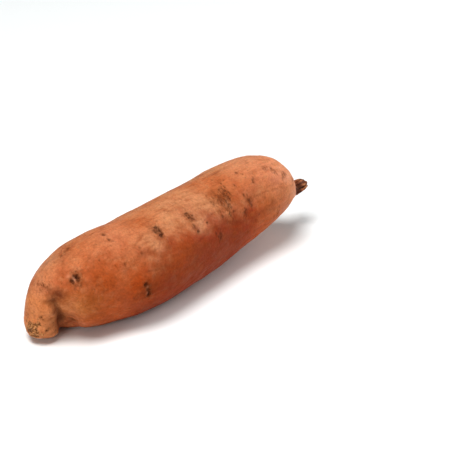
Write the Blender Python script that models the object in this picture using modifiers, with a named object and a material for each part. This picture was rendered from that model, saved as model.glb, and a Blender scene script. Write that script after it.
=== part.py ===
"""Sweet potato: one whole root with the stub of its stalk, lying on its belly.

The body is a loft of slightly flattened rings from the blunt, downturned nose (-X) to the stalk stub (+X), joined
to a second, short loft: the front of the belly, which bulges down behind the nose. The rings are the cages of
Subdivision Surfaces, and a cut at the floor leaves the small flat spot it rests on.
The origin is on the floor, under the middle of the bounding box. Metres, +Z up.
"""
import math
from collections import namedtuple

import bmesh
import bpy
from mathutils import Vector

# Driving sizes, in metres.
LENGTH = 0.1975         # nose to the shoulder that carries the stalk
WIDTH = 0.0583          # side to side, at the fattest ring
THICKNESS = 0.0545      # belly to back, at the fattest ring
NOSE_WIDTH = 0.022      # side to side, at the downturned nose
STALK_WIDTH = 0.0086    # the broken stalk stub, across
STALK_LENGTH = 0.0155   # how far the stub stands out of the shoulder
STALK_DROP = 0.0085     # how far the stub sits below the middle of the body's last ring
REST_DEPTH = 0.0007     # how deep the resting spot is pressed into the belly

# The cage.
AROUND = 8              # corners of each ring
SMOOTHING = 2           # subdivision levels

OBJECT_NAME = "sweet_potato"
SKIN_COLOUR = (0.50, 0.165, 0.072, 1.0)
SKIN_ROUGHNESS = 0.55

# along: share of LENGTH; height, thick: shares of THICKNESS; side, wide: shares of the ring's full width.
# height and side place the ring's middle, thick and wide are its half sizes, and lean is in degrees:
# a leaning ring has its top nearer the nose.
Ring = namedtuple("Ring", "along height side thick wide lean")

NOSE_RINGS = (
    Ring(0.045, 0.036, 0.250, 0.125, 0.330, 84.0),
    Ring(0.050, 0.130, 0.215, 0.200, 0.525, 72.0),
    Ring(0.053, 0.262, 0.270, 0.186, 0.420, 57.0),
)
BODY_RINGS = (
    Ring(0.065, 0.392, 0.080, 0.240, 0.198, 40.0),
    Ring(0.086, 0.478, 0.024, 0.307, 0.281, 20.0),
    Ring(0.113, 0.468, -0.005, 0.419, 0.362, 4.0),
    Ring(0.189, 0.484, -0.015, 0.484, 0.403, 0.0),
    Ring(0.310, 0.500, -0.105, 0.500, 0.500, 0.0),
    Ring(0.459, 0.497, -0.050, 0.497, 0.478, 0.0),
    Ring(0.602, 0.506, 0.004, 0.499, 0.446, 0.0),
    Ring(0.740, 0.568, 0.036, 0.481, 0.435, 2.0),
    Ring(0.847, 0.622, 0.032, 0.442, 0.413, 4.0),
    Ring(0.929, 0.652, -0.005, 0.365, 0.343, 4.0),
    Ring(0.975, 0.648, -0.035, 0.243, 0.220, 3.0),
)
# The front of the belly closes the gap behind the nose down to a crease.
BELLY_RINGS = (
    Ring(0.082, 0.250, 0.110, 0.120, 0.120, 0.0),
    Ring(0.090, 0.280, 0.105, 0.220, 0.180, 0.0),
    Ring(0.118, 0.330, 0.065, 0.315, 0.245, 0.0),
    Ring(0.190, 0.420, 0.000, 0.400, 0.340, 0.0),
    Ring(0.280, 0.450, 0.000, 0.350, 0.300, 0.0),
)


def limit_radius(corners):
    """How far out a subdivided ring ends up, as a share of its corners' radius."""
    return (2.0 + math.cos(2.0 * math.pi / corners)) / 3.0


def ring_points(middle, thick, wide, lean):
    """Corners of one ring, pushed out so that the smoothed surface reaches the sizes given."""
    reach = 1.0 / limit_radius(AROUND)
    up = Vector((-math.sin(lean), 0.0, math.cos(lean))) * thick * reach
    across = Vector((0.0, 1.0, 0.0)) * wide * reach
    turns = (2.0 * math.pi * corner / AROUND for corner in range(AROUND))
    return [middle + up * math.cos(turn) + across * math.sin(turn) for turn in turns]


def placed_ring(ring, full_width):
    """Ring of the table, in metres."""
    middle = Vector((ring.along * LENGTH, ring.side * full_width, ring.height * THICKNESS - REST_DEPTH))
    return ring_points(middle, ring.thick * THICKNESS, ring.wide * full_width, math.radians(ring.lean))


def stalk_rings():
    """The shoulder closes in to the stub, which flares a little and is broken off bluntly."""
    last = BODY_RINGS[-1]
    radius = STALK_WIDTH / 2.0
    side = (last.side - 0.02) * WIDTH
    height = last.height * THICKNESS - STALK_DROP - REST_DEPTH
    steps = ((-0.05, 1.55), (0.25, 1.05), (0.65, 0.98), (1.00, 0.80))
    rings = []
    for out, share in steps:
        middle = Vector((LENGTH + out * STALK_LENGTH, side, height))
        rings.append(ring_points(middle, radius * share, radius * share, math.radians(6.0)))
    return rings


def loft(name, rings):
    """Closed mesh through the rings, with a flat cap at each end."""
    mesh = bpy.data.meshes.new(name)
    bm = bmesh.new()
    loops = [[bm.verts.new(point) for point in ring] for ring in rings]
    for near, far in zip(loops, loops[1:]):
        for corner in range(AROUND):
            following = (corner + 1) % AROUND
            bm.faces.new((near[corner], near[following], far[following], far[corner]))
    bm.faces.new(loops[0])
    bm.faces.new(loops[-1])
    bmesh.ops.recalc_face_normals(bm, faces=bm.faces)
    bm.to_mesh(mesh)
    bm.free()
    mesh.shade_smooth()
    return mesh


def skin_material():
    """Satin orange-brown skin."""
    material = bpy.data.materials.new("sweet_potato_skin")
    material.use_nodes = True
    shader = material.node_tree.nodes["Principled BSDF"]
    shader.inputs["Base Color"].default_value = SKIN_COLOUR
    shader.inputs["Roughness"].default_value = SKIN_ROUGHNESS
    shader.inputs["Metallic"].default_value = 0.0
    return material


def lofted_object(name, rings, collection):
    """Smoothed loft through the rings, as an object of the collection."""
    item = bpy.data.objects.new(name, loft(name, rings))
    collection.objects.link(item)
    smooth = item.modifiers.new("smooth", "SUBSURF")
    smooth.levels = smooth.render_levels = SMOOTHING
    return item


def floor_cutter(collection):
    """Block whose top is the floor: it takes off what would be pressed flat."""
    bpy.ops.mesh.primitive_cube_add(size=1.0)
    cutter = bpy.context.object
    cutter.name = "floor_cutter"
    cutter.dimensions = (2.0 * LENGTH, 2.0 * WIDTH, THICKNESS)
    cutter.location = (0.5 * LENGTH, 0.0, -0.5 * THICKNESS)
    for owner in list(cutter.users_collection):
        owner.objects.unlink(cutter)
    collection.objects.link(cutter)
    return cutter


def combine(body, name, operation, other):
    """Joins the other object to the body or takes it off, and keeps it out of sight."""
    step = body.modifiers.new(name, "BOOLEAN")
    step.operation = operation
    step.solver = "EXACT"
    step.object = other
    other.hide_render = True
    other.display_type = "WIRE"


def centre_on_origin(parts):
    """Slides everything so that the first part's bounding box is centred over the origin."""
    bpy.context.view_layer.update()
    evaluated = parts[0].evaluated_get(bpy.context.evaluated_depsgraph_get())
    points = [evaluated.matrix_world @ vertex.co for vertex in evaluated.data.vertices]
    for axis in (0, 1):
        values = [point[axis] for point in points]
        middle = (min(values) + max(values)) / 2.0
        for part in parts:
            part.location[axis] -= middle


def build():
    for item in list(bpy.data.objects):
        bpy.data.objects.remove(item, do_unlink=True)
    scene_root = bpy.context.scene.collection
    parts = bpy.data.collections.new("sweet_potato_parts")
    helpers = bpy.data.collections.new("cutters")
    scene_root.children.link(parts)
    scene_root.children.link(helpers)

    rings = [placed_ring(ring, NOSE_WIDTH) for ring in NOSE_RINGS]
    rings += [placed_ring(ring, WIDTH) for ring in BODY_RINGS]
    rings += stalk_rings()
    body = lofted_object(OBJECT_NAME, rings, parts)
    body.data.materials.append(skin_material())

    belly = lofted_object("belly_front", [placed_ring(ring, WIDTH) for ring in BELLY_RINGS], helpers)
    combine(body, "belly", "UNION", belly)
    cutter = floor_cutter(helpers)
    combine(body, "resting_spot", "DIFFERENCE", cutter)

    centre_on_origin((body, belly, cutter))


build()
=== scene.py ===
"""Sweet potato: the looks of the root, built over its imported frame.

The CAD solid is copied, meshed finely and evenly, and given its real skin: broad lumps, long shallow furrows,
root scars with raised rims, clusters of corky ticks that lie across the root, a crumbly nose and a fibrous
broken stalk. Lengths are in metres, and those in the tables in millimetres.

A place on the skin is given by `along`, the share of the way from the nose to the stalk, and `turn`, the
angle round the root in degrees: 0 on the back, 90 on the -Y side, 180 underneath. On the downturned nose it
is given by `behind`, `side` and `above`: behind the nose's end, towards +Y, and above the floor.
"""
import math
import random
from collections import namedtuple

import bmesh
import bpy
import numpy as np
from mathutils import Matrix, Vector, noise
from mathutils.bvhtree import BVHTree


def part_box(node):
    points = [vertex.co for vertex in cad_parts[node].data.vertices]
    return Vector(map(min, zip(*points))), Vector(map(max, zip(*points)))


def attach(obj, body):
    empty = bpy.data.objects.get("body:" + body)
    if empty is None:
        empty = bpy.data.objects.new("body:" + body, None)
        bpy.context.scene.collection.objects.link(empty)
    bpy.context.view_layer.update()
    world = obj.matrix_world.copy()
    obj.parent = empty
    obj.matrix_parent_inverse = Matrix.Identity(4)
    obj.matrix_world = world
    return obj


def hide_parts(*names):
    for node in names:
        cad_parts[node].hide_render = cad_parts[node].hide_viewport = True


MM = 0.001

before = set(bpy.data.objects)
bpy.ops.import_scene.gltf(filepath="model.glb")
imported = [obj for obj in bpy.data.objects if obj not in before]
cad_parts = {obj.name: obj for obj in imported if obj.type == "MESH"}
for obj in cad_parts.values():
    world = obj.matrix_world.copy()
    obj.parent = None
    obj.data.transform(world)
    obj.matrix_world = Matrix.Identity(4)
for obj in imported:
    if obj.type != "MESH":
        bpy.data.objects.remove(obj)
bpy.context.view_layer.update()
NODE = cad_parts["sweet_potato"]
LOW, HIGH = (Vector(corner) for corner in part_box("sweet_potato"))
SIZE = HIGH - LOW

EVERYWHERE = slice(None)

# How finely the skin is meshed.
GRAIN = 0.66 * MM
WELD = 0.005 * MM                  # corners of the CAD solid that are closer than this are one
FLAT_JOIN = math.radians(25.0)     # its triangles join into a quad if they bend less than this
SKEW_JOIN = math.radians(50.0)     # and if the quad's corners are skewed less than this
ROUNDING_LEVELS = 2                # subdivision levels that round off the solid's facets
SOFTENING, SOFTENING_PASSES = 0.5, 8

# Where the root's middle line is read.
SLICES = 42
SLICE_OVERLAP = 1.5 * MM

# Relief all over: the height of each kind, the size of its pattern and how far it is drawn out lengthwise.
LUMP_HEIGHT, LUMP_SIZE, LUMP_STRETCH = 0.80 * MM, 26.0 * MM, 1.3
DENT_HEIGHT, DENT_SIZE, DENT_STRETCH = 0.25 * MM, 9.0 * MM, 1.4
FURROW_DEPTH, FURROW_SIZE, FURROW_STRETCH = 0.18 * MM, 9.0 * MM, 6.0
WRINKLE_HEIGHT, WRINKLE_SIZE, WRINKLE_STRETCH = 0.05 * MM, 1.6 * MM, 0.5

# A scar's shape; distances from its middle are shares of its half size. Its outline is frayed by noise.
FRAY_SIZE, FRAY_STRENGTH = 1.7 * MM, 1.6
SCAR_RAGGEDNESS = 0.38
PIT_STEEPNESS = 1.1
LIP_DISTANCE, LIP_WIDTH, LIP_HEIGHT = 1.55, 0.42, 0.40
FLAKE_SPREAD = 1.4
TICK_SPREAD = 0.55                 # how closely a cluster's ticks crowd round its middle
LENTICELS = 170
SCATTER_SEED = 41

# The corky scab on the nose: its place, in millimetres, its radius, and how far out it is looked for. Crumbs
# and pits are given as how many there are to the metre.
CORK_PLACE = (0.5, 5.4, 9.6)
CORK_RADIUS, CORK_REACH = 5.1 * MM, 12.0 * MM
CORK_RAGGEDNESS = 0.45
CORK_HEIGHT = 0.55 * MM
CRUMBS, PITS = 900.0, 420.0

# The stalk stub and the sunken collar round its foot. Radii are measured from the line through its tip.
STUB_LENGTH = 13.0 * MM
STUB_RADII = 9.0 * MM, 6.0 * MM    # nothing of it outside the first, wholly stub inside the second
COLLAR_RADII = 10.0 * MM, 6.5 * MM
COLLAR_DEPTH = 0.7 * MM
RIDGE_HEIGHT = 0.95 * MM
RIDGES_ROUND, RIDGES_ALONG = 2.6, 160.0                # how many to one radian, and to the metre
TEAR_HEIGHT, TORN_END_HEIGHT = 0.25, 0.6               # all over, and what the broken end has more
TEARS = 650.0                                          # to the metre

CREASE_STEPS = 9                   # places pressed in from one row of the crease to the next

# The borders of the soft patches of colour are frayed by noise too.
PATCH_FRAY_SIZE, PATCH_FRAY_STRENGTH = 4.0 * MM, 1.5
PATCH_RAGGEDNESS = 0.35

# Colours of the marks on the skin, of the shade and highlight painted on it, and of its two ends.
STAIN_AND_SHADE = (0.25, 0.052, 0.010, 1.0)
BRUISE_AND_SHADE = (0.17, 0.040, 0.012, 1.0)
TAN = (0.56, 0.270, 0.130, 1.0)
BROWN = (0.135, 0.040, 0.011, 1.0)
DARK = (0.052, 0.013, 0.004, 1.0)
FLAKE_AND_HIGHLIGHT = (0.80, 0.420, 0.260, 1.0)
CORK_DARK, CORK_LIGHT = (0.110, 0.042, 0.013, 1.0), (0.66, 0.340, 0.145, 1.0)
STALK_DARK, STALK_LIGHT = (0.070, 0.015, 0.006, 1.0), (0.34, 0.115, 0.050, 1.0)
TORN_DARK, TORN_LIGHT = (0.14, 0.040, 0.016, 1.0), (0.56, 0.260, 0.120, 1.0)

# The studio.
FLOOR_SIZE, FLOOR_ROUGHNESS = 6.0, 0.6
FLOOR_COLOUR = (0.88, 0.90, 0.90, 1.0)
WORLD_STRENGTH = 0.12
VIEW_GAMMA = 0.82
LIGHTS_AIM = (0.0, 0.0, 0.03)
Lamp = namedtuple("Lamp", "name place size watts")
LAMPS = (
    Lamp("key", (-0.55, 0.0, 2.05), 1.25, 46.0),
    Lamp("left", (-1.6, -0.50, 0.60), 0.9, 13.0),
    Lamp("right", (1.7, -0.40, 0.55), 0.9, 24.0),
)
CAMERA_AZIMUTH = math.radians(-45.0)
CAMERA_ELEVATION = math.radians(28.0)
CAMERA_DISTANCE = 0.776
CAMERA_AIM = Vector((0.0502, 0.0136, 0.0107))
LENS_MM, SENSOR_MM = 100.0, 36.0

Mark = namedtuple("Mark", "along turn length width depth dark")   # length runs along the root, width round it

# Root scars and dots.
SCARS = (
    Mark(0.0820, 46, 2.6, 3.0, 1.1, 0.85),     # the deep eye behind the nose: two pits that run together
    Mark(0.0925, 45, 3.2, 3.9, 1.7, 1.00),
    Mark(0.0890, 40, 2.6, 1.6, 0.6, 0.70),
    Mark(0.222, 3, 1.5, 2.3, 0.5, 0.70),       # a pair of scars on the back
    Mark(0.219, 14, 1.2, 2.2, 0.4, 0.60),
    Mark(0.350, 30, 3.6, 6.0, 0.3, 0.50),      # the slanting scar, a dark ring round a paler middle
    Mark(0.353, 24, 2.4, 2.0, 0.3, 0.75),
    Mark(0.358, 30, 1.3, 4.4, 0.5, 0.85),
    Mark(0.350, 36, 2.4, 2.2, 0.5, 0.90),
    Mark(0.343, 29, 1.1, 3.6, 0.4, 0.65),
    Mark(0.252, 84, 2.3, 2.4, 0.7, 0.90),      # the scars low on the side
    Mark(0.256, 91, 1.5, 3.2, 0.4, 0.60),
    Mark(0.259, 98, 2.4, 2.6, 0.7, 0.90),
    Mark(0.467, 34, 2.2, 4.4, 0.2, 0.40),      # brown smudges
    Mark(0.463, 47, 1.3, 1.6, 0.2, 0.55),
    Mark(0.467, 54, 1.4, 1.5, 0.3, 0.65),
    Mark(0.540, 75, 1.6, 4.0, 0.2, 0.35),
    Mark(0.703, 16, 0.9, 1.1, 0.4, 0.75),      # single dots
    Mark(0.713, 23, 1.0, 0.9, 0.4, 0.60),
    Mark(0.663, 31, 0.9, 1.1, 0.4, 0.70),
    Mark(0.648, 16, 0.7, 0.9, 0.3, 0.45),
    Mark(0.615, -6, 1.0, 0.9, 0.3, 0.35),
    Mark(0.509, 51, 0.9, 1.1, 0.4, 0.80),
    Mark(0.164, 36, 0.8, 0.9, 0.3, 0.45),
    Mark(0.792, 103, 1.1, 1.4, 0.4, 0.55),
    Mark(0.709, 83, 0.9, 1.1, 0.3, 0.45),
    Mark(0.273, 39, 0.8, 1.1, 0.3, 0.40),
    Mark(0.269, 46, 0.8, 1.6, 0.3, 0.40),
    Mark(0.217, 52, 1.3, 1.5, 0.3, 0.30),
    Mark(0.430, -95, 2.4, 3.2, 0.8, 0.90),     # the far side, unseen in front
    Mark(0.150, -70, 2.0, 2.6, 0.7, 0.80),
    Mark(0.680, -80, 1.6, 2.6, 0.6, 0.70),
    Mark(0.820, -45, 1.4, 1.8, 0.5, 0.60),
    Mark(0.320, -140, 1.6, 2.2, 0.5, 0.60),
    Mark(0.560, 150, 1.8, 2.4, 0.5, 0.60),
    Mark(0.780, 160, 1.6, 2.0, 0.5, 0.60),
)

Flake = namedtuple("Flake", "along turn length width height cover")

# Paler flakes of skin that stand in or beside the scars, and how much of the scar each covers. The first, in
# the deep eye, is also a painted highlight.
FLAKES = (
    Flake(0.0872, 44, 1.2, 2.6, 1.2, 1.00),
    Flake(0.0790, 37, 2.4, 2.0, 0.8, 0.35),
    Flake(0.2560, 87, 1.2, 1.2, 0.3, 0.35),
    Flake(0.2540, 95, 1.2, 1.2, 0.3, 0.30),
)

NoseMark = namedtuple("NoseMark", "behind side above length width depth dark")

# Scars on the nose.
NOSE_SCARS = (
    NoseMark(6.8, 6.0, 35.0, 0.9, 1.1, 0.3, 0.50),
    NoseMark(4.4, 1.0, 17.8, 1.3, 0.9, 0.4, 0.80),
    NoseMark(5.0, 0.2, 16.0, 1.1, 0.9, 0.3, 0.60),
    NoseMark(5.5, -1.4, 9.6, 1.1, 1.6, 0.5, 0.80),
    NoseMark(21.0, -4.6, 11.0, 1.6, 2.2, 0.5, 0.60),
)

Groove = namedtuple("Groove", "behind side above reach depth")

# The crease that sets the lobe of the nose off from the belly, from its faint top to the floor.
CREASE = (
    Groove(6.0, 0.8, 26.8, 0.9, 0.2),
    Groove(7.7, -1.7, 27.4, 1.3, 0.7),
    Groove(9.3, -3.6, 27.2, 1.6, 1.6),
    Groove(10.7, -4.4, 24.0, 1.7, 2.4),
    Groove(12.3, -3.9, 19.8, 1.7, 2.7),
    Groove(14.2, -2.7, 16.0, 1.6, 2.6),
    Groove(17.0, 0.9, 10.6, 1.8, 2.2),
)

Swelling = namedtuple("Swelling", "behind side above reach height")

# Broad swellings round the crease, and hollows, whose height is below zero.
SWELLINGS = (
    Swelling(7.0, -1.6, 22.0, 5.0, 0.9),
    Swelling(8.8, -2.5, 21.6, 3.2, 1.5),
    Swelling(11.5, -6.6, 30.0, 3.6, -1.9),
    Swelling(16.5, -10.5, 36.5, 4.5, -0.5),
    Swelling(20.0, -14.5, 24.0, 6.0, 0.7),
    Swelling(9.0, 1.0, 39.0, 4.5, 0.5),
    Swelling(19.0, -10.0, 40.5, 4.2, -0.6),
    Swelling(24.0, 10.5, 46.5, 9.0, -1.7),
    Swelling(0.6, 9.2, 16.0, 5.5, -1.3),
    Swelling(1.0, 7.0, 5.0, 3.5, 0.9),
    Swelling(19.5, -1.0, 5.5, 4.5, -1.9),
)

Cluster = namedtuple("Cluster", "along turn reach spread count dark")   # spread goes round, in degrees

# Groups of short corky ticks that lie across the root.
CLUSTERS = (
    Cluster(0.467, 32, 2.0, 8, 14, 0.75),
    Cluster(0.465, 50, 1.6, 5, 8, 0.60),
    Cluster(0.620, 33, 2.6, 10, 22, 0.75),     # the large speckled patch
    Cluster(0.596, 40, 6.0, 17, 60, 0.50),
    Cluster(0.604, 52, 2.8, 9, 20, 0.70),
    Cluster(0.540, 74, 2.4, 9, 12, 0.65),
    Cluster(0.722, 38, 1.6, 4, 7, 0.55),
    Cluster(0.685, 60, 1.3, 9, 12, 0.75),
    Cluster(0.672, 49, 1.0, 4, 5, 0.55),
    Cluster(0.657, 69, 2.6, 7, 12, 0.50),
    Cluster(0.786, 30, 1.2, 5, 5, 0.50),
    Cluster(0.814, 39, 2.0, 6, 9, 0.50),
    Cluster(0.845, 51, 1.6, 8, 8, 0.55),
    Cluster(0.883, 63, 1.4, 6, 6, 0.55),
    Cluster(0.790, 98, 2.0, 8, 8, 0.40),
    Cluster(0.030, 28, 2.0, 14, 8, 0.60),
    Cluster(0.125, -13, 5.0, 4, 8, 0.45),
    Cluster(0.520, -60, 6.0, 16, 34, 0.55),    # the far side and the belly
    Cluster(0.260, -100, 3.0, 12, 16, 0.60),
    Cluster(0.740, -120, 4.0, 14, 22, 0.55),
    Cluster(0.880, -90, 3.0, 20, 14, 0.50),
    Cluster(0.400, 150, 4.0, 10, 12, 0.45),
    Cluster(0.700, 175, 5.0, 12, 14, 0.45),
)

Patch = namedtuple("Patch", "along turn reach strength")

# Soft brown or reddish stains; the second and third, broad and low on the -Y side, are painted shade.
STAINS_AND_PAINTED_SHADE = (
    Patch(0.256, 92, 6.5, 1.00),
    Patch(0.560, 90, 20.0, 0.55),
    Patch(0.440, 92, 18.0, 0.60),
    Patch(0.260, 120, 14.0, 0.50),
    Patch(0.351, 29, 3.5, 0.55),
    Patch(0.467, 36, 3.6, 0.60),
    Patch(0.465, 51, 3.0, 0.55),
    Patch(0.605, 43, 7.5, 0.60),
    Patch(0.620, 34, 4.0, 0.45),
    Patch(0.540, 76, 4.0, 0.60),
    Patch(0.685, 60, 3.6, 0.60),
    Patch(0.657, 70, 4.0, 0.45),
    Patch(0.719, 50, 7.0, 0.45),
    Patch(0.845, 52, 3.0, 0.40),
    Patch(0.096, 44, 4.0, 0.50),
    Patch(0.150, 71, 9.0, 0.50),
    Patch(0.125, -13, 6.0, 0.50),
    Patch(0.343, 78, 15.0, 0.60),
    Patch(0.136, 116, 9.0, 0.45),
    Patch(0.430, -95, 6.0, 0.70),
    Patch(0.520, -60, 9.0, 0.50),
    Patch(0.260, -100, 7.0, 0.60),
    Patch(0.740, -120, 9.0, 0.60),
    Patch(0.880, -90, 6.0, 0.50),
    Patch(0.400, 150, 9.0, 0.60),
    Patch(0.700, 175, 12.0, 0.60),
)

NosePatch = namedtuple("NosePatch", "behind side above reach strength")

# Painted shade in the hollow above the crease and low in the crease, and a few small dark bruise spots.
BRUISES_AND_PAINTED_SHADE = (
    NosePatch(11.2, -6.2, 30.6, 4.2, 1.00),
    NosePatch(9.6, -4.0, 28.0, 2.6, 1.00),
    NosePatch(8.6, -2.4, 34.0, 2.2, 0.60),
    NosePatch(19.5, -4.0, 10.0, 3.5, 0.80),
    NosePatch(17.0, -4.5, 15.5, 4.5, 0.65),
    NosePatch(7.4, 0.8, 35.0, 1.6, 0.45),
    NosePatch(5.0, 12.0, 36.0, 3.0, 0.35),
)

# Deep, even orange. Low on the -Y side it is painted shade and painted orange bounced light; the two on the
# +Y side are plain deep colour.
DEEP_ORANGE_AND_PAINTED_BOUNCE = (
    Patch(0.740, 112, 18.0, 0.80),
    Patch(0.790, 92, 14.0, 0.40),
    Patch(0.700, -150, 26.0, 0.60),
    Patch(0.155, 66, 13.0, 0.90),
    Patch(0.150, 112, 16.0, 1.00),
    Patch(0.230, 82, 14.0, 0.80),
    Patch(0.370, 72, 14.0, 0.55),
    Patch(0.300, -80, 18.0, 0.50),
)

# Painted light: lighter, yellower orange on the -Y side of the far end.
PAINTED_WARM_LIGHT = (
    Patch(0.770, 78, 13.0, 0.40),
    Patch(0.860, 78, 13.0, 0.45),
)

# Pale pinkish places: the four on the back are a painted sheen, the last two plain pale colour.
PALE_AND_PAINTED_SHEEN = (
    Patch(0.240, 8, 15.0, 0.80),
    Patch(0.180, 26, 9.0, 0.45),
    Patch(0.740, 10, 16.0, 0.45),
    Patch(0.860, 20, 15.0, 0.60),
    Patch(0.600, -50, 16.0, 0.60),
    Patch(0.250, 160, 14.0, 0.50),
)

# Ochre places, where the outer skin is worn.
OCHRES = (
    Patch(0.094, 92, 9.0, 1.0),
    Patch(0.060, 70, 5.0, 0.7),
    Patch(0.600, 40, 9.0, 0.6),
    Patch(0.400, 60, 12.0, 0.4),
    Patch(0.350, -60, 11.0, 0.7),
    Patch(0.800, -100, 9.0, 0.6),
    Patch(0.500, 170, 12.0, 0.6),
)


def remove_defaults():
    """Clears what a new Blender file holds, apart from the frame."""
    for name in ("Cube", "Light", "Camera"):
        item = bpy.data.objects.get(name)
        if item is not None:
            bpy.data.objects.remove(item, do_unlink=True)


def new_object(name, data):
    item = bpy.data.objects.new(name, data)
    bpy.context.scene.collection.objects.link(item)
    return item


def fine_copy(node, name):
    """Closed and evenly meshed copy of a CAD node, with its facets rounded off."""
    coarse = node.data.copy()
    bm = bmesh.new()
    bm.from_mesh(coarse)
    bmesh.ops.remove_doubles(bm, verts=bm.verts, dist=WELD)
    bmesh.ops.join_triangles(
        bm, faces=bm.faces, angle_face_threshold=FLAT_JOIN, angle_shape_threshold=SKEW_JOIN
    )
    bm.to_mesh(coarse)
    bm.free()
    item = new_object(name + "_coarse", coarse)
    rounder = item.modifiers.new("round", "SUBSURF")
    rounder.levels = rounder.render_levels = ROUNDING_LEVELS
    even = item.modifiers.new("even", "REMESH")
    even.mode = "VOXEL"
    even.voxel_size = GRAIN
    soften = item.modifiers.new("soften", "SMOOTH")
    soften.factor = SOFTENING
    soften.iterations = SOFTENING_PASSES
    bpy.context.view_layer.update()
    evaluated = item.evaluated_get(bpy.context.evaluated_depsgraph_get())
    mesh = bpy.data.meshes.new_from_object(evaluated)
    bpy.data.objects.remove(item, do_unlink=True)
    return new_object(name, mesh)


class Skin:
    """The fine mesh as arrays, with the root's middle line and a way to find places on it."""

    def __init__(self, item):
        self.item = item
        mesh = item.data
        count = len(mesh.vertices)
        self.points = np.empty(count * 3)
        mesh.vertices.foreach_get("co", self.points)
        self.points = self.points.reshape(-1, 3)
        self.normals = np.empty(count * 3)
        mesh.vertices.foreach_get("normal", self.normals)
        self.normals = self.normals.reshape(-1, 3)
        self.height = np.zeros(count)
        self.masks = {}
        faces = [tuple(face.vertices) for face in mesh.polygons]
        self.tree = BVHTree.FromPolygons([Vector(p) for p in self.points], faces)
        self.slices()

    def slices(self):
        """Rows of x, y and z of the root's middle, its half width and half height, at even steps along it."""
        edges = np.linspace(LOW.x, HIGH.x, SLICES + 1)
        x = self.points[:, 0]
        rows = []
        for start, end in zip(edges, edges[1:]):
            inside = self.points[(x >= start - SLICE_OVERLAP) & (x <= end + SLICE_OVERLAP)]
            low, high = inside.min(axis=0), inside.max(axis=0)
            rows.append(((start + end) / 2, *((low + high) / 2)[1:], *((high - low) / 2)[1:]))
        self.middle = np.array(rows)

    def section(self, x):
        """The root's middle in Y and Z, and its half width and half height, at x."""
        return (np.interp(x, self.middle[:, 0], self.middle[:, column]) for column in range(1, 5))

    def place(self, along, turn):
        """Point on the skin, and the directions out of it, along the root and round the root."""
        x = LOW.x + along * SIZE.x
        y, z, half_width, half_height = self.section(x)
        angle = math.radians(turn)
        guess = Vector((x, y - math.sin(angle) * half_width, z + math.cos(angle) * half_height))
        point, out, _, _ = self.tree.find_nearest(guess)
        ahead = (Vector((1.0, 0.0, 0.0)) - out * out.x).normalized()
        return point, out, ahead, out.cross(ahead)

    def nose_place(self, behind, side, above):
        """The same for a place on the nose, with up instead of along the root."""
        guess = Vector((LOW.x + behind * MM, side * MM, above * MM))
        point, out, _, _ = self.tree.find_nearest(guess)
        ahead = (Vector((0.0, 0.0, 1.0)) - out * out.z).normalized()
        return point, out, ahead, out.cross(ahead)

    def near(self, point, reach):
        """Numbers of the points within reach, and their offsets."""
        offsets = self.points - np.array(point)
        chosen = np.nonzero((np.abs(offsets) < reach).all(axis=1))[0]
        return chosen, offsets[chosen]

    def mask(self, name):
        return self.masks.setdefault(name, np.zeros(len(self.points)))

    def raise_mask(self, name, chosen, values):
        """Lifts the mask to the values wherever it is lower."""
        mask = self.mask(name)
        mask[chosen] = np.maximum(mask[chosen], values)

    def field(self, size, seed, octaves=3, stretch=1.0):
        """Fractal noise at every point, about -1 to 1, in patches of a size that is stretched lengthwise."""
        scale = np.array((1.0 / (size * stretch), 1.0 / size, 1.0 / size))
        shift = Vector((seed * 7.3, seed * 3.1, seed * 5.7))
        return np.array([
            noise.fractal(Vector(p) + shift, 1.0, 2.0, octaves, noise_basis="PERLIN_ORIGINAL")
            for p in self.points * scale
        ])

    def finish(self):
        """Moves the points out by the height and stores the masks on the mesh."""
        moved = self.points + self.normals * self.height[:, None]
        moved[:, 2] = np.maximum(moved[:, 2], 0.0)
        mesh = self.item.data
        mesh.vertices.foreach_set("co", moved.ravel())
        for name, values in self.masks.items():
            attribute = mesh.attributes.new(name, "FLOAT", "POINT")
            attribute.data.foreach_set("value", values.astype(np.float32))
        mesh.update()
        mesh.shade_smooth()


def smoothstep(low, high, values):
    """0 at low, 1 at high and beyond, and eased between them; low may be the larger."""
    share = np.clip((values - low) / (high - low), 0.0, 1.0)
    return share * share * (3.0 - 2.0 * share)


def bell(distance, power=2):
    """1 in the middle, falling off smoothly with the distance."""
    return np.exp(-distance ** power)


def noise_at(points, frequency, shift=(0.0, 0.0, 0.0)):
    """Plain noise at each of the points, its frequency per metre."""
    return np.array([noise.noise(Vector(p) * frequency + Vector(shift)) for p in points])


def stamp(skin, place, mark, ragged):
    """Presses one scar into the skin: a pit with a raised lip and a dark, ragged floor."""
    point, out, ahead, across = place
    half_length, half_width = mark.length * MM / 2.0, mark.width * MM / 2.0
    chosen, offsets = skin.near(point, 3.0 * max(half_length, half_width) + 1.0 * MM)
    u = offsets @ np.array(ahead) / half_length
    v = offsets @ np.array(across) / half_width
    facing = skin.normals[chosen] @ np.array(out) > 0.2
    ring = np.sqrt(u * u + v * v) * (1.0 + SCAR_RAGGEDNESS * ragged[chosen])
    pit = np.exp(-PIT_STEEPNESS * ring ** 2)
    lip = bell((ring - LIP_DISTANCE) / LIP_WIDTH)
    skin.height[chosen] += facing * mark.depth * MM * (LIP_HEIGHT * lip - pit)
    skin.raise_mask("rim", chosen, facing * mark.dark * min(1.0, mark.depth) * lip)
    skin.raise_mask("scar", chosen, facing * mark.dark * smoothstep(1.35, 0.65, ring))
    skin.raise_mask("halo", chosen, facing * mark.dark * smoothstep(2.8, 1.0, ring))


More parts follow.
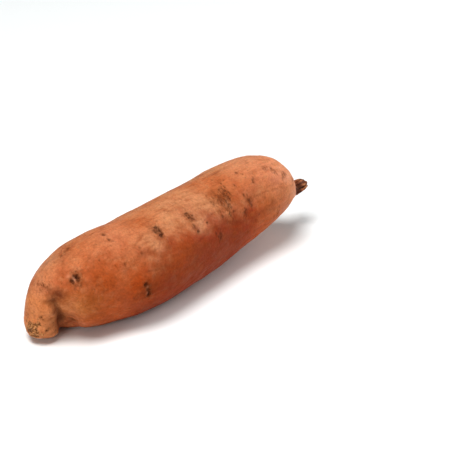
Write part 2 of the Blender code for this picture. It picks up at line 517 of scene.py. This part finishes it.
def add_flake(skin, flake_and_highlight):
    """Raises a small pale flake and wipes the dark off it."""
    point, _, ahead, across = skin.place(flake_and_highlight.along, flake_and_highlight.turn)
    chosen, offsets = skin.near(point, 2.0 * max(flake_and_highlight.length, flake_and_highlight.width) * MM)
    u = offsets @ np.array(ahead) / (flake_and_highlight.length * MM / 2.0)
    v = offsets @ np.array(across) / (flake_and_highlight.width * MM / 2.0)
    cover = flake_and_highlight.cover * np.exp(-(u * u + v * v) / FLAKE_SPREAD)
    skin.height[chosen] += flake_and_highlight.height * MM * cover
    skin.mask("scar")[chosen] *= 1.0 - cover
    skin.raise_mask("flake_and_highlight", chosen, cover)


def scatter(cluster, rng):
    """The ticks of one cluster: thin marks that lie across the root."""
    for _ in range(cluster.count):
        along = cluster.along + rng.gauss(0.0, TICK_SPREAD) * cluster.reach * MM / SIZE.x
        turn = cluster.turn + rng.gauss(0.0, TICK_SPREAD) * cluster.spread
        width = rng.uniform(0.8, 2.0)
        yield Mark(
            along, turn, width * rng.uniform(0.35, 0.6), width,
            rng.uniform(0.08, 0.25), cluster.dark * rng.uniform(0.6, 1.0),
        )


def lenticels(rng):
    """Small faint pores all over."""
    for _ in range(LENTICELS):
        width = rng.uniform(0.6, 1.5)
        yield Mark(
            rng.uniform(0.03, 0.93), rng.uniform(-180.0, 180.0), width * rng.uniform(0.4, 0.9), width,
            rng.uniform(0.04, 0.14), rng.uniform(0.10, 0.35),
        )


def add_relief(skin):
    """Lumps, dents, long furrows and fine wrinkles."""
    lumps = skin.field(LUMP_SIZE, 1, octaves=2, stretch=LUMP_STRETCH)
    furrows = 1.0 - np.abs(skin.field(FURROW_SIZE, 2, octaves=3, stretch=FURROW_STRETCH)) * 2.0
    skin.height += LUMP_HEIGHT * lumps - FURROW_DEPTH * smoothstep(0.55, 1.0, furrows)
    skin.height += DENT_HEIGHT * skin.field(DENT_SIZE, 7, octaves=2, stretch=DENT_STRETCH)
    skin.height += WRINKLE_HEIGHT * skin.field(WRINKLE_SIZE, 3, octaves=3, stretch=WRINKLE_STRETCH)
    skin.mask("furrow")[:] = smoothstep(0.6, 1.0, furrows)


def add_crease(skin):
    """The crease between the nose and the belly, painted dark as shade, and the swellings round it."""
    for spot in SWELLINGS:
        centre = skin.nose_place(spot.behind, spot.side, spot.above)[0]
        chosen, offsets = skin.near(centre, 2.5 * spot.reach * MM)
        distance = np.linalg.norm(offsets, axis=1) / (spot.reach * MM)
        skin.height[chosen] += spot.height * MM * bell(distance)
    groove = np.zeros(len(skin.points))
    crease_shade = np.zeros(len(skin.points))
    for start, end in zip(CREASE, CREASE[1:]):
        for share in np.linspace(0.0, 1.0, CREASE_STEPS):
            behind, side, above, reach, depth = (a + (b - a) * share for a, b in zip(start, end))
            centre = skin.nose_place(behind, side, above)[0]
            chosen, offsets = skin.near(centre, 3.0 * reach * MM)
            distance = np.linalg.norm(offsets, axis=1) / (reach * MM)
            groove[chosen] = np.maximum(groove[chosen], depth * MM * bell(distance, 1.5))
            # painted shade along the crease
            crease_shade[chosen] = np.maximum(crease_shade[chosen], min(1.0, depth) * bell(distance / 1.3))
    skin.height -= groove
    skin.mask("painted_crease_shade")[:] = crease_shade


def add_nose_cork(skin, ragged):
    """Crumbly corky scab on the very end of the nose."""
    centre = skin.nose_place(*CORK_PLACE)[0]
    chosen, offsets = skin.near(centre, CORK_REACH)
    distance = np.linalg.norm(offsets, axis=1) / CORK_RADIUS * (1.0 + CORK_RAGGEDNESS * ragged[chosen])
    cork = smoothstep(1.15, 0.75, distance)
    crumbs = noise_at(skin.points[chosen], CRUMBS)
    pits = noise_at(skin.points[chosen], PITS, (4.0, 1.0, 2.0))
    skin.height[chosen] += cork * CORK_HEIGHT * (crumbs + pits)
    skin.raise_mask("cork", chosen, cork)
    skin.raise_mask("scar", chosen, cork * smoothstep(-0.10, -0.45, crumbs + pits) * 0.9)


def add_stalk(skin):
    """Fibrous stub: ridges along it, a torn end, and a sunken collar where it leaves the root, painted dark
    as shade.
    """
    tip = skin.points[np.argmax(skin.points[:, 0])]
    x, y, z = skin.points.T
    out = (x - (HIGH.x - STUB_LENGTH)) / STUB_LENGTH       # 0 at the stub's foot, 1 at its end
    radius = np.hypot(y - tip[1], z - tip[2])
    stub = smoothstep(-0.10, 0.15, out) * smoothstep(*STUB_RADII, radius)
    chosen = np.nonzero(stub > 0.0)[0]
    angle = np.arctan2(y[chosen] - tip[1], z[chosen] - tip[2])
    ridges = np.array([
        noise.noise(Vector((math.cos(a) * RIDGES_ROUND, math.sin(a) * RIDGES_ROUND, px * RIDGES_ALONG)))
        for a, px in zip(angle, x[chosen])
    ])
    tear_height = (TEAR_HEIGHT + TORN_END_HEIGHT * smoothstep(0.75, 1.0, out[chosen])) * MM
    tear = tear_height * noise_at(skin.points[chosen], TEARS)
    skin.height[chosen] += stub[chosen] * (RIDGE_HEIGHT * ridges + tear)
    collar = bell((out - 0.02) / 0.16) * smoothstep(*COLLAR_RADII, radius)
    skin.height -= COLLAR_DEPTH * collar
    skin.raise_mask("stalk", EVERYWHERE, stub)
    skin.raise_mask("torn", EVERYWHERE, stub * smoothstep(0.35, 0.75, out))
    skin.raise_mask("scar", chosen, stub[chosen] * smoothstep(0.0, -0.3, ridges) * 0.9)
    # painted shade: the sunken collar is painted near black
    skin.raise_mask("scar", EVERYWHERE, 0.95 * smoothstep(0.35, 0.9, collar))


def add_patches(skin, name, spots, ragged):
    """Soft round patches with frayed borders, from (centre, reach, strength)."""
    fraying = 1.0 + PATCH_RAGGEDNESS * ragged
    for centre, reach, strength in spots:
        distance = np.linalg.norm(skin.points - np.array(centre), axis=1) / (reach * MM)
        skin.raise_mask(name, EVERYWHERE, strength * bell(distance * fraying))


def add_tints(skin):
    """Where the skin is stained, worn, pinker or deeper in colour than elsewhere, and where shade and light
    are painted on it.
    """
    x, _, z = skin.points.T
    along = (x - LOW.x) / SIZE.x
    height = z / SIZE.z
    ragged = skin.field(PATCH_FRAY_SIZE, 8, octaves=4) * PATCH_FRAY_STRENGTH
    tables = {"stain_and_painted_shade": STAINS_AND_PAINTED_SHADE, "ochre": OCHRES, "deep_orange_and_painted_bounce": DEEP_ORANGE_AND_PAINTED_BOUNCE, "painted_warm_light": PAINTED_WARM_LIGHT, "pale_and_painted_sheen": PALE_AND_PAINTED_SHEEN}
    for name, patches in tables.items():
        spots = [(skin.place(p.along, p.turn)[0], p.reach, p.strength) for p in patches]
        add_patches(skin, name, spots, ragged)
    bruises_and_shade = [(skin.nose_place(b.behind, b.side, b.above)[0], b.reach, b.strength) for b in BRUISES_AND_PAINTED_SHADE]
    add_patches(skin, "bruise_and_painted_shade", bruises_and_shade, ragged)
    specks = [
        (skin.place(c.along, c.turn)[0], 0.9 * max(c.reach, 0.3 * c.spread), min(1.0, 1.6 * c.dark))
        for c in CLUSTERS
    ]
    add_patches(skin, "speck", specks, ragged)

    # The far end blushes pink.
    skin.mask("blush")[:] = smoothstep(0.60, 0.86, along + 0.05 * skin.field(20.0 * MM, 5, octaves=2))
    # Painted shade: the lower half is darker and redder, less so at both ends. Its ragged upper edge lies
    # lower near the nose.
    edge = 0.48 + 0.14 * smoothstep(0.28, 0.45, along)
    belly = smoothstep(0.94, edge, height + 0.16 * skin.field(12.0 * MM, 6, octaves=4))
    ends = (0.40 + 0.60 * smoothstep(0.09, 0.28, along)) * (1.0 - 0.80 * smoothstep(0.66, 0.86, along))
    skin.mask("belly")[:] = belly * ends
    # Painted light: the downturned nose is made lighter.
    nose = smoothstep(0.12, 0.05, along) * smoothstep(0.62, 0.45, height)
    skin.raise_mask("painted_warm_light", EVERYWHERE, 0.6 * nose)


def build_skin():
    root = fine_copy(NODE, "sweet_potato_skin")
    skin = Skin(root)
    rng = random.Random(SCATTER_SEED)
    ragged = skin.field(FRAY_SIZE, 4, octaves=2) * FRAY_STRENGTH
    add_relief(skin)
    ticks = [tick for cluster in CLUSTERS for tick in scatter(cluster, rng)]
    for mark in (*SCARS, *ticks, *lenticels(rng)):
        stamp(skin, skin.place(mark.along, mark.turn), mark, ragged)
    for flake_and_highlight in FLAKES:
        add_flake(skin, flake_and_highlight)
    for mark in NOSE_SCARS:
        stamp(skin, skin.nose_place(mark.behind, mark.side, mark.above), mark, ragged)
    add_crease(skin)
    add_nose_cork(skin, ragged)
    add_stalk(skin)
    add_tints(skin)
    skin.finish()
    return root


class Shader:
    """Short ways to add and join nodes of one material."""

    def __init__(self, name):
        self.material = bpy.data.materials.new(name)
        self.material.use_nodes = True
        self.tree = self.material.node_tree
        self.shader = self.tree.nodes["Principled BSDF"]
        self.place = self.tree.nodes.new("ShaderNodeTexCoord").outputs["Object"]

    def feed(self, socket, value):
        """Links the socket to a node's output, or sets it to a plain value."""
        if isinstance(value, bpy.types.NodeSocket):
            self.tree.links.new(value, socket)
        else:
            socket.default_value = value

    def node(self, kind, **inputs):
        node = self.tree.nodes.new(kind)
        for name, value in inputs.items():
            self.feed(node.inputs[name], value)
        return node

    def attribute(self, name):
        node = self.tree.nodes.new("ShaderNodeAttribute")
        node.attribute_name = name
        return node.outputs["Fac"]

    def scaled(self, stretch):
        """Object coordinates, squeezed along X so that patterns are drawn out that way by stretch."""
        node = self.node("ShaderNodeMapping", Vector=self.place)
        node.inputs["Scale"].default_value = (1.0 / stretch, 1.0, 1.0)
        return node.outputs["Vector"]

    def noise(self, size, detail=4.0, rough=0.5, stretch=1.0, twist=0.0):
        """Noise whose patches are about size metres wide."""
        node = self.node(
            "ShaderNodeTexNoise", Vector=self.scaled(stretch), Scale=1.0 / size, Detail=detail,
            Roughness=rough, Distortion=twist,
        )
        return node.outputs["Fac"]

    def ramp(self, value, low, high, start=0.0, end=1.0):
        """Eased from start, where the value is low, to end, where it is high."""
        node = self.node("ShaderNodeMapRange", Value=value)
        node.interpolation_type = "SMOOTHSTEP"
        node.inputs["From Min"].default_value = low
        node.inputs["From Max"].default_value = high
        node.inputs["To Min"].default_value = start
        node.inputs["To Max"].default_value = end
        return node.outputs["Result"]

    def math(self, operation, first, second):
        node = self.tree.nodes.new("ShaderNodeMath")
        node.operation = operation
        self.feed(node.inputs[0], first)
        self.feed(node.inputs[1], second)
        return node.outputs[0]

    def times(self, first, second):
        return self.math("MULTIPLY", first, second)

    def mix(self, share, first, second, blend="MIX"):
        """Mixes two colours. Sockets 6 and 7 and output 2 are the Mix node's colours."""
        node = self.tree.nodes.new("ShaderNodeMix")
        node.data_type = "RGBA"
        node.blend_type = blend
        self.feed(node.inputs["Factor"], share)
        self.feed(node.inputs[6], first)
        self.feed(node.inputs[7], second)
        return node.outputs[2]

    def tinted(self, colour, mask, strength, tint):
        """The colour, turned towards the tint where the skin's mask of that name is set."""
        return self.mix(self.times(self.attribute(mask), strength), colour, tint)

    def grey(self, value):
        return self.node("ShaderNodeCombineColor", Red=value, Green=value, Blue=value).outputs["Color"]

    def bump(self, height, distance, before=None):
        node = self.node("ShaderNodeBump", Height=height, Distance=distance)
        if before is not None:
            self.feed(node.inputs["Normal"], before)
        return node.outputs["Normal"]


def base_colour(s):
    """Patchy orange skin with its broad tints, some of them painted shade and painted light."""
    pale = (0.58, 0.275, 0.140, 1.0)
    deep = (0.50, 0.155, 0.055, 1.0)
    broad = s.ramp(s.noise(0.040, detail=3.0, stretch=1.6, twist=0.4), 0.36, 0.66)
    colour = s.mix(broad, pale, deep)
    tints = (
        ("blush", 0.62, (0.64, 0.265, 0.150, 1.0)),
        # painted sheen on the back, and pale patches
        ("pale_and_painted_sheen", 0.70, (0.66, 0.320, 0.180, 1.0)),
        # painted shade on the lower half
        ("belly", 0.92, (0.29, 0.028, 0.002, 1.0)),
        # painted shade and bounced light low on the -Y side, and deep orange
        ("deep_orange_and_painted_bounce", 0.75, (0.54, 0.110, 0.014, 1.0)),
        ("ochre", 0.50, (0.42, 0.140, 0.022, 1.0)),
        # painted light on the nose and the far end
        ("painted_warm_light", 0.65, (0.72, 0.330, 0.125, 1.0)),
    )
    for mask, strength, tint in tints:
        colour = s.tinted(colour, mask, strength, tint)
    return colour


def mottled(s, colour):
    """Blotches, stains and bruises, in part painted shade, tan flecks, streaks, freckles and grain over the
    base colour.
    """
    blotches = s.ramp(s.noise(0.0085, detail=5.0, rough=0.62, stretch=1.3, twist=0.6), 0.50, 0.72)
    colour = s.mix(s.times(blotches, 0.48), colour, STAIN_AND_SHADE)
    patchy = s.ramp(s.noise(0.0035, detail=4.0, rough=0.6), 0.30, 0.62, 0.35, 1.0)
    # stains, and painted shade low on the -Y side
    colour = s.tinted(colour, "stain_and_painted_shade", patchy, STAIN_AND_SHADE)
    # painted shade in the hollow and crease by the nose, and bruise spots
    colour = s.tinted(colour, "bruise_and_painted_shade", 0.78, BRUISE_AND_SHADE)
    mottle = s.ramp(s.noise(0.0045, detail=5.0, rough=0.65), 0.48, 0.70)
    # fewer tan flecks in the painted shade of the lower half
    outside_low_shade = s.math("SUBTRACT", 1.0, s.times(s.attribute("belly"), 0.8))
    colour = s.mix(s.times(s.times(mottle, outside_low_shade), 0.45), colour, TAN)
    streaks = s.ramp(s.noise(0.0030, detail=4.0, stretch=4.0), 0.45, 0.72)
    colour = s.mix(s.times(streaks, 0.22), colour, STAIN_AND_SHADE)
    freckles = s.ramp(s.noise(0.0016, detail=3.0, rough=0.6, stretch=0.6), 0.58, 0.72)
    colour = s.mix(s.times(freckles, 0.38), colour, BROWN)
    grain = s.ramp(s.noise(0.0013, detail=3.0, rough=0.7), 0.30, 0.70, 0.88, 1.10)
    return s.mix(1.0, colour, s.grey(grain), "MULTIPLY")


def marked(s, colour):
    """Dirt in the furrows, painted shade in the crease by the nose, brown halos round the scars, the scars'
    frayed rims and the corky ticks.
    """
    for mask, strength in (("furrow", 0.10), ("painted_crease_shade", 0.55), ("halo", 0.36)):
        colour = s.tinted(colour, mask, strength, BROWN)
    frayed = s.ramp(s.noise(0.0012, detail=3.0, rough=0.6), 0.42, 0.60, 0.0, 0.34)
    colour = s.tinted(colour, "rim", frayed, TAN)
    ticks = s.ramp(s.noise(0.0014, detail=2.0, rough=0.5, stretch=0.5, twist=0.3), 0.56, 0.63, 0.0, 0.80)
    return s.tinted(colour, "speck", ticks, BROWN)


def with_ends(s, colour):
    """The corky nose, the woody stalk with its torn end, and over all the dark scars, the collar's painted
    shade and the pale flakes, one of them a painted highlight.
    """
    crumbs = s.ramp(s.noise(0.0011, detail=4.0, rough=0.7), 0.38, 0.66)
    colour = s.tinted(colour, "cork", 0.88, s.mix(crumbs, CORK_DARK, CORK_LIGHT))
    fibres = s.ramp(s.noise(0.0012, detail=4.0, stretch=4.0), 0.38, 0.62)
    stalk = s.mix(fibres, STALK_DARK, STALK_LIGHT)
    torn = s.mix(fibres, TORN_DARK, TORN_LIGHT)
    colour = s.mix(s.attribute("stalk"), colour, s.mix(s.attribute("torn"), stalk, torn))
    ragged = s.ramp(s.noise(0.0007, detail=4.0, rough=0.7), 0.30, 0.70, 0.45, 1.15)
    scarred = s.math("MINIMUM", s.times(s.attribute("scar"), ragged), 1.0)
    colour = s.mix(scarred, colour, DARK)
    # pale flakes; the one in the deep eye is a painted highlight
    return s.tinted(colour, "flake_and_highlight", 0.80, FLAKE_AND_HIGHLIGHT)


def skin_material():
    """Satin orange-brown skin with patchy colour, streaks, pores, dark scars and woody ends."""
    s = Shader("sweet_potato_skin")
    colour = with_ends(s, marked(s, mottled(s, base_colour(s))))
    s.feed(s.shader.inputs["Base Color"], colour)

    rough = s.ramp(s.noise(0.006, detail=4.0), 0.35, 0.70, 0.44, 0.60)
    rough = s.math("ADD", rough, s.times(s.attribute("halo"), 0.15))
    s.feed(s.shader.inputs["Roughness"], rough)
    s.shader.inputs["IOR"].default_value = 1.42
    s.shader.inputs["Specular IOR Level"].default_value = 0.17
    s.shader.inputs["Specular Tint"].default_value = (1.0, 0.68, 0.48, 1.0)
    s.shader.inputs["Subsurface Weight"].default_value = 0.08
    s.shader.inputs["Subsurface Radius"].default_value = (1.0, 0.35, 0.15)
    s.shader.inputs["Subsurface Scale"].default_value = 1.5 * MM

    # Soft unevenness, fine grain, and a rougher grain round the scars.
    crust = s.times(s.noise(0.0006, detail=4.0, rough=0.7), s.attribute("halo"))
    normal = s.bump(s.noise(0.0035, detail=5.0, rough=0.6, stretch=2.5), 0.30 * MM)
    normal = s.bump(s.noise(0.0009, detail=5.0, rough=0.65), 0.10 * MM, normal)
    normal = s.bump(crust, 0.35 * MM, normal)
    s.feed(s.shader.inputs["Normal"], normal)
    return s.material


def add_floor():
    """Pale tabletop under the root, far larger than the view."""
    bpy.ops.mesh.primitive_plane_add(size=FLOOR_SIZE)
    floor = bpy.context.object
    floor.name = "floor"
    material = bpy.data.materials.new("floor_white")
    material.use_nodes = True
    shader = material.node_tree.nodes["Principled BSDF"]
    shader.inputs["Base Color"].default_value = FLOOR_COLOUR
    shader.inputs["Roughness"].default_value = FLOOR_ROUGHNESS
    floor.data.materials.append(material)


def aim(item, target):
    item.rotation_euler = (Vector(target) - item.location).to_track_quat("-Z", "Y").to_euler()


def add_light(lamp):
    data = bpy.data.lights.new(lamp.name, "AREA")
    data.shape = "DISK"
    data.size = lamp.size
    data.energy = lamp.watts
    item = new_object(lamp.name, data)
    item.location = lamp.place
    aim(item, LIGHTS_AIM)


def add_studio():
    """Soft light from above and from both sides, in a dim white surround."""
    world = bpy.data.worlds.new("studio")
    bpy.context.scene.world = world
    world.use_nodes = True
    background = world.node_tree.nodes["Background"]
    background.inputs["Color"].default_value = (1.0, 1.0, 1.0, 1.0)
    background.inputs["Strength"].default_value = WORLD_STRENGTH
    for lamp in LAMPS:
        add_light(lamp)


def add_camera():
    """Telephoto view of the nose end and the -Y side, from a little above."""
    back = Vector((
        math.sin(CAMERA_AZIMUTH) * math.cos(CAMERA_ELEVATION),
        -math.cos(CAMERA_AZIMUTH) * math.cos(CAMERA_ELEVATION),
        math.sin(CAMERA_ELEVATION),
    ))
    data = bpy.data.cameras.new("camera")
    data.lens = LENS_MM
    data.sensor_width = SENSOR_MM
    item = new_object("camera", data)
    item.location = CAMERA_AIM + back * CAMERA_DISTANCE
    aim(item, CAMERA_AIM)
    bpy.context.scene.camera = item


remove_defaults()
root = build_skin()
root.data.materials.clear()
root.data.materials.append(skin_material())
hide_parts("sweet_potato")
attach(root, "root")
add_floor()
add_studio()
add_camera()
bpy.context.scene.view_settings.view_transform = "Standard"
bpy.context.scene.view_settings.gamma = VIEW_GAMMA
